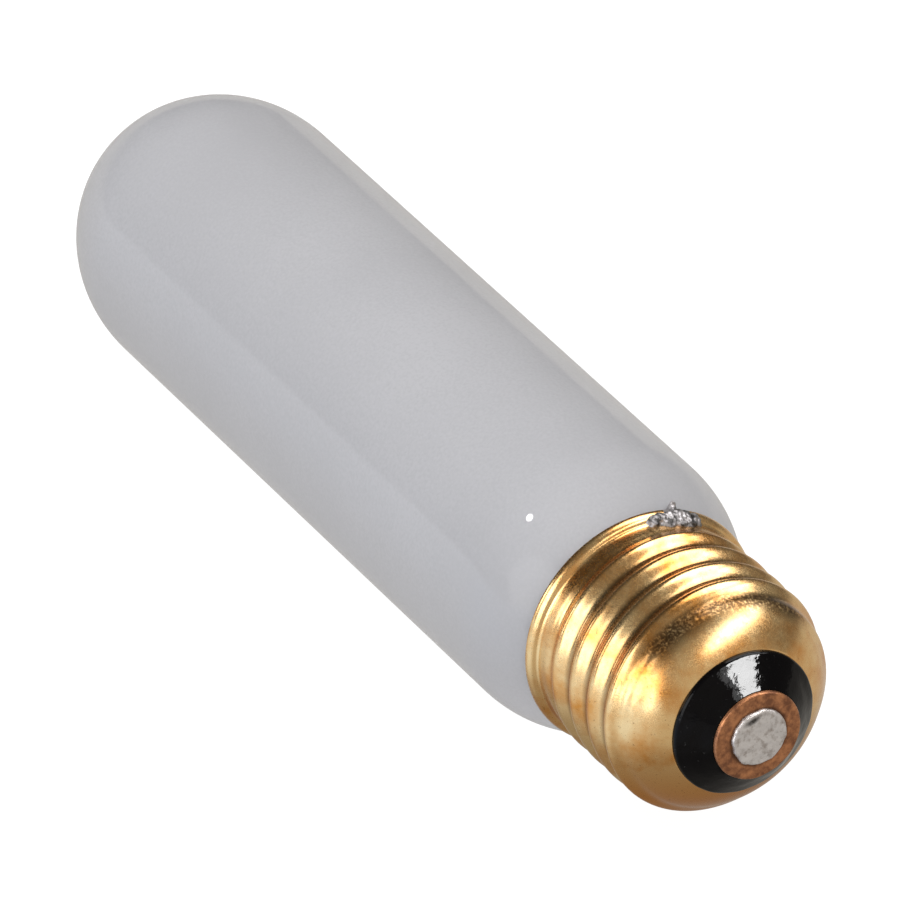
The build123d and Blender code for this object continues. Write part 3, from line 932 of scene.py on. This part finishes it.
class LIGHTBULB_OT_stage(bpy.types.Operator):
    """Lay the floor, set the lights and aim the camera"""

    bl_idname = "light_bulb.stage"
    bl_label = "Floor, lights and camera"

    # Where the camera looks, and its lens and sensor, in millimetres
    TARGET = Vector((-28.396, -20.154, 24.979))
    LENS = 536.27
    SENSOR = 36.0

    # In metres
    FLOOR_RADIUS = 4.0

    # Lamps: name, direction from the bulb, distance, width and height in metres, and brightness.
    # The softboxes light dull surfaces and aren't mirrored in bright ones.
    SOFTBOXES = (
        ("Overhead softbox", (-0.08, -0.13, 0.98), 0.8, 0.8, 0.75, 4.6),
        ("Front softbox", (0.55, 0.38, 0.74), 0.9, 0.65, 0.37, 3.2),
        ("Left softbox", (0.15, -0.93, 0.3), 0.9, 0.69, 0.7, 2.2),
    )

    # The cards are mirrored in bright surfaces and light no dull ones. Each set falls on some
    # pieces only.
    BASE = ("brass_shell", "black_cone", "copper_eyelet", "solder_button", "solder_lump")
    BASE_CARDS = (
        ("Overhead card", (-0.12, 0.43, 0.9), 0.75, 0.66, 0.65, 6.0),
        ("Front card", (0.53, 0.48, 0.68), 0.85, 1.3, 0.2, 7.0),
        ("Front left card", (0.59, -0.79, 0.16), 0.84, 0.18, 0.5, 5.0),
        ("Left card", (0.15, -0.93, 0.3), 0.85, 0.65, 0.66, 4.0),
        ("Back left card", (-0.6, -0.77, 0.2), 0.85, 0.25, 0.35, 5.0),
    )
    INSULATOR_CARDS = (("Front strip", (0.69, 0.38, 0.62), 0.84, 0.5, 0.22, 90.0),)
    GLASS_CARDS = (
        ("Small lamp", (-0.415, -0.528, 0.741), 0.8, 0.065, 0.065, 75.0),
        ("Left gleam", (0.15, -0.93, 0.3), 0.8, 0.6, 0.6, 1.6),
    )

    # Colours of the room's light and of the cooler light at its left, and the way to the left
    WARM = (1.0, 0.94, 0.84, 1.0)
    COOL = (0.84, 0.97, 1.15, 1.0)
    LEFT = (-0.1, -0.99, 0.0)

    def floor(self):
        stage, glass = settings().stage, settings().glass
        material, tree, _ = new_material("Pale sweep")
        shader = node(
            tree,
            "BsdfPrincipled",
            {
                "Base Color": rgba(stage.floor),
                "Roughness": 0.9,
                "Specular IOR Level": 0.0,
                "Emission Color": (1.0, 1.0, 1.0, 1.0),
                "Emission Strength": 0.96,
            },
        )
        node(tree, "OutputMaterial", {"Surface": shader})
        bm = bmesh.new()
        down = Matrix.Translation((0.0, 0.0, -glass.tube_diameter / 2))
        bmesh.ops.create_circle(
            bm, cap_ends=True, segments=96, radius=self.FLOOR_RADIUS, matrix=down
        )
        mesh = bpy.data.meshes.new("floor")
        bm.to_mesh(mesh)
        bm.free()
        mesh.materials.append(material)
        floor = bpy.data.objects.new("floor", mesh)
        bpy.context.scene.collection.objects.link(floor)
        floor.visible_glossy = False

    def room(self):
        """A warm room, darkest behind the bulb, and a pale table with a cooler left side."""
        world = bpy.data.worlds.new("Studio")
        world.use_nodes = True
        tree = world.node_tree
        tree.nodes.clear()
        way = node(tree, "TexCoord").outputs["Generated"]
        along, _, height = node(tree, "SeparateXYZ", {0: way}).outputs
        left = node(tree, "VectorMath", {0: way, 1: self.LEFT}, operation="DOT_PRODUCT")
        lit = node(tree, "MapRange", {VALUE: left, LOW: 0.5, HIGH: 0.9})
        lit_side = node(tree, "Math", {0: lit, 1: 0.6}, operation="MULTIPLY")
        pale = node(
            tree, "MapRange", {VALUE: height, LOW: -0.75, HIGH: -0.52, TO_LOW: 0.4, TO_HIGH: 0.68}
        )
        table = node(tree, "Math", {0: pale, 1: lit_side}, operation="ADD")
        back = node(
            tree, "MapRange", {VALUE: along, LOW: -0.7, HIGH: 0.1, TO_LOW: 0.08, TO_HIGH: 0.25}
        )
        front = node(tree, "MapRange", {VALUE: along, LOW: 0.5, HIGH: 0.9, TO_HIGH: 0.42})
        wall = node(tree, "Math", {0: back, 1: front}, operation="ADD")
        above = node(tree, "Math", {0: height, 1: 0.0}, operation="GREATER_THAN")
        level = node(tree, "Mix", {0: above, 2: table, 3: wall}, data_type="FLOAT")
        tones = {FACTOR: lit, FIRST: self.WARM, SECOND: self.COOL}
        hue = node(tree, "Mix", tones, data_type="RGBA")
        glow = node(tree, "Background", {"Color": hue, "Strength": level})
        node(tree, "OutputWorld", {"Surface": glow})
        bpy.context.scene.world = world

    def lamp(self, name, direction, distance, width, height, radiance):
        """A round or oval lamp face that looks at the bulb from a direction, with an even glow."""
        light = bpy.data.lights.new(name, "AREA")
        light.shape = "ELLIPSE"
        light.size, light.size_y = width, height
        light.energy = radiance * math.pi * width * height / 4 * math.pi
        lamp = bpy.data.objects.new(name, light)
        towards = Vector(direction).normalized()
        lamp.location = self.TARGET * MM + towards * distance
        lamp.rotation_euler = towards.to_track_quat("Z", "Y").to_euler()
        lamp.visible_camera = False
        bpy.context.scene.collection.objects.link(lamp)
        return lamp

    def cards(self, faces, name, pieces):
        """Cards that are mirrored in some pieces only."""
        mirrors = bpy.data.collections.new(name)
        for piece in pieces:
            mirrors.objects.link(bpy.data.objects[piece])
        for face in faces:
            card = self.lamp(*face)
            card.visible_diffuse = False
            card.light_linking.receiver_collection = mirrors

    def lights(self):
        for face in self.SOFTBOXES:
            self.lamp(*face).visible_glossy = False
        self.cards(self.BASE_CARDS, "Lit by the cards", self.BASE)
        self.cards(self.INSULATOR_CARDS, "Lit by the front strip", ("black_cone",))
        self.cards(self.GLASS_CARDS, "Lit by the small lamp and the gleam", ("frosted_bulb",))

    def camera(self):
        stage = settings().stage
        level = math.cos(stage.elevation)
        towards = Vector(
            (
                math.sin(stage.azimuth) * level,
                -math.cos(stage.azimuth) * level,
                math.sin(stage.elevation),
            )
        )
        data = bpy.data.cameras.new("Camera")
        data.sensor_width = self.SENSOR
        data.lens = self.LENS
        camera = bpy.data.objects.new("Camera", data)
        camera.location = self.TARGET * MM + towards * stage.distance
        camera.rotation_euler = towards.to_track_quat("Z", "Y").to_euler()
        bpy.context.scene.collection.objects.link(camera)
        bpy.context.scene.camera = camera

    def execute(self, context):
        context.scene.view_settings.view_transform = "Standard"
        self.floor()
        self.room()
        self.lights()
        self.camera()
        return {"FINISHED"}


class LIGHTBULB_PT_panel(bpy.types.Panel):
    """The steps that make the light bulb"""

    bl_idname = "LIGHTBULB_PT_panel"
    bl_label = "Light bulb"
    bl_space_type = "VIEW_3D"
    bl_region_type = "UI"
    bl_category = "Light bulb"

    def draw(self, context):
        for step in STEPS:
            self.layout.operator(step.bl_idname)


STEPS = (
    LIGHTBULB_OT_glass,
    LIGHTBULB_OT_shell,
    LIGHTBULB_OT_insulator,
    LIGHTBULB_OT_eyelet,
    LIGHTBULB_OT_solder,
    LIGHTBULB_OT_inside,
    LIGHTBULB_OT_stage,
)

CLASSES = (
    BulbGlassSettings,
    BulbShellSettings,
    BulbContactSettings,
    BulbStageSettings,
    BulbSettings,
    *STEPS,
    LIGHTBULB_PT_panel,
)


def register():
    for cls in CLASSES:
        bpy.utils.register_class(cls)
    bpy.types.Scene.light_bulb = PointerProperty(type=BulbSettings)


def unregister():
    del bpy.types.Scene.light_bulb
    for cls in reversed(CLASSES):
        bpy.utils.unregister_class(cls)


def main():
    register()
    bpy.ops.light_bulb.glass()
    bpy.ops.light_bulb.shell()
    bpy.ops.light_bulb.insulator()
    bpy.ops.light_bulb.eyelet()
    bpy.ops.light_bulb.solder()
    bpy.ops.light_bulb.inside()
    bpy.ops.light_bulb.stage()


if __name__ == "__main__":
    main()
